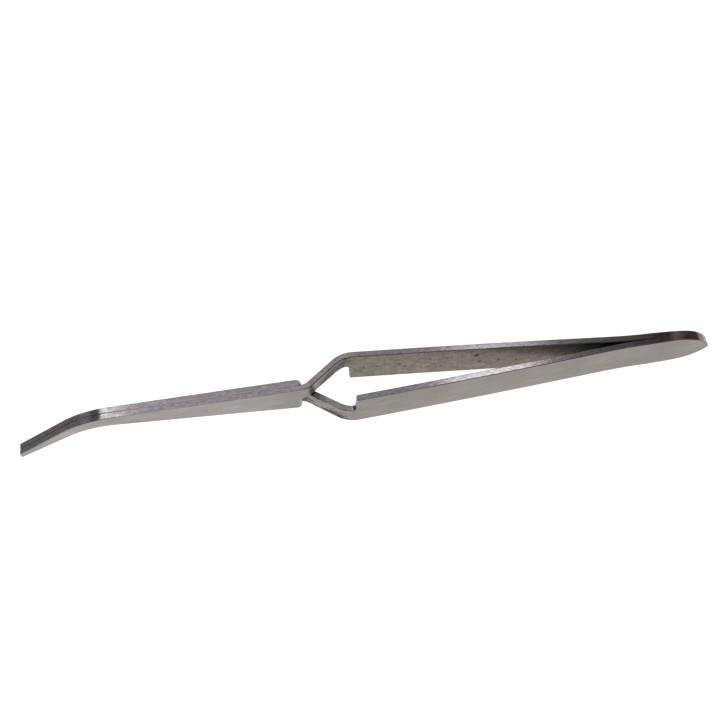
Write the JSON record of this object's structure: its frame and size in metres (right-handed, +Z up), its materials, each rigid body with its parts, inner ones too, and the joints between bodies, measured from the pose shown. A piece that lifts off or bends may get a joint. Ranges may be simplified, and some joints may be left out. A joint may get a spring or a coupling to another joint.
{
  "type": "cross-lock tweezers with curved tips",
  "caption": "Self-closing cross-lock tweezers: two welded spring blades that cross at half-width necks and meet in tapered tips curved edgewise.",
  "frame": {"origin": "on the resting surface, under the middle of the bounding box", "axes": "+X along the length towards the welded tail, +Y across the blades towards the far arm, +Z up; the blades stand on edge"},
  "size_m": [0.1654, 0.0128, 0.0134],
  "materials": {
    "far_blade_steel": "satin, brushed along the length",
    "near_blade_steel": "satin, brushed along the length",
    "weld_steel": "ground flush"
  },
  "bodies": {
    "root": {"far_blade": "far_blade_steel", "near_blade": "near_blade_steel", "tail_weld": "weld_steel"}
  },
  "joints": []
}
